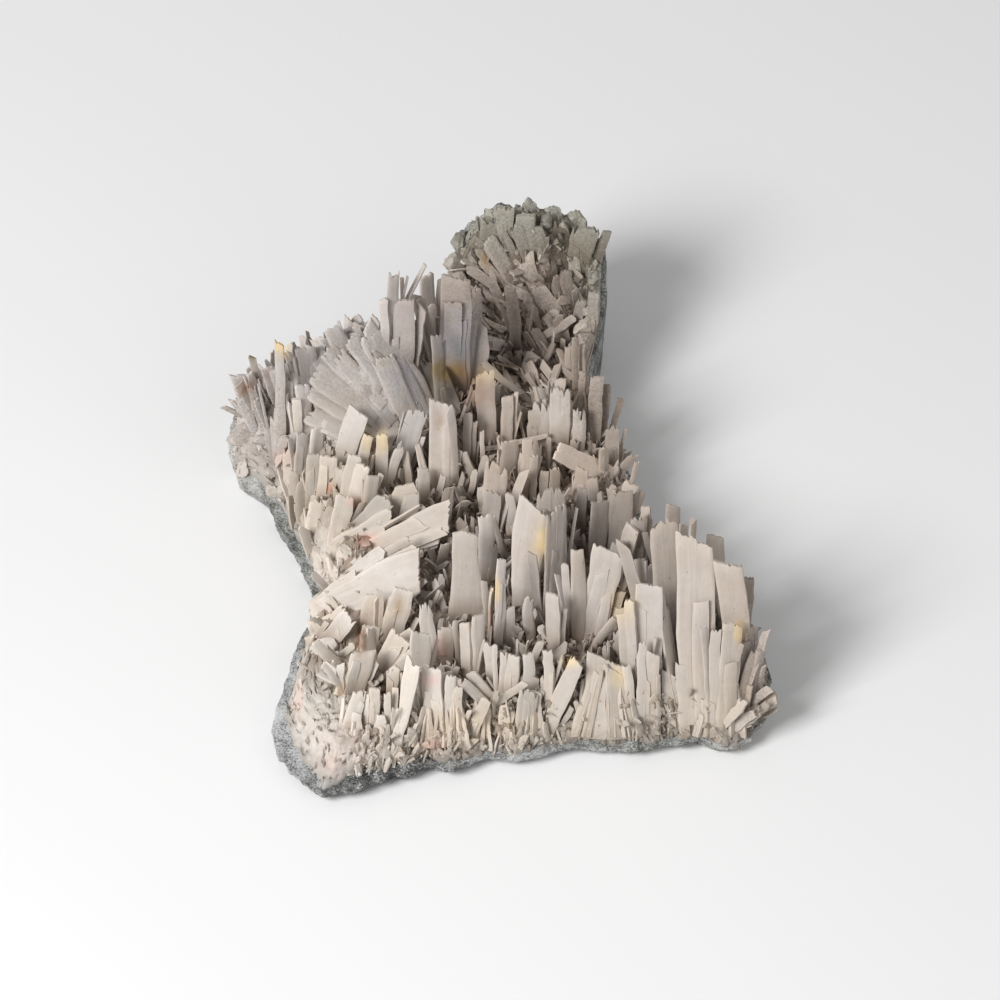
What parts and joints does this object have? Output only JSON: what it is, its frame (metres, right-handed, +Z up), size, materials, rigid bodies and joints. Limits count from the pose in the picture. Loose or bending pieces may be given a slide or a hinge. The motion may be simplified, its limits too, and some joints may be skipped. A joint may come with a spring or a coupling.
{
  "type": "quartz pseudomorph specimen",
  "caption": "Loose mineral specimen: thin quartz blades, rods and lying slabs standing in a crust on a slab of host rock, with a shingled mound and a raised back lobe.",
  "frame": {"origin": "on the flat underside of the rock, near the middle of the specimen", "axes": "+Z up from the underside, +Y from the wide front edge to the raised back lobe, +X across to the right stand of tall blades"},
  "size_m": [0.1378, 0.1763, 0.0659],
  "materials": {
    "matrix": "rough grey-green rock with dark specks",
    "quartz": "chalky matt cream to grey-lilac quartz with a few iron stains"
  },
  "bodies": {
    "root": {"matrix": "matrix", "quartz_blades": "quartz"}
  },
  "joints": []
}
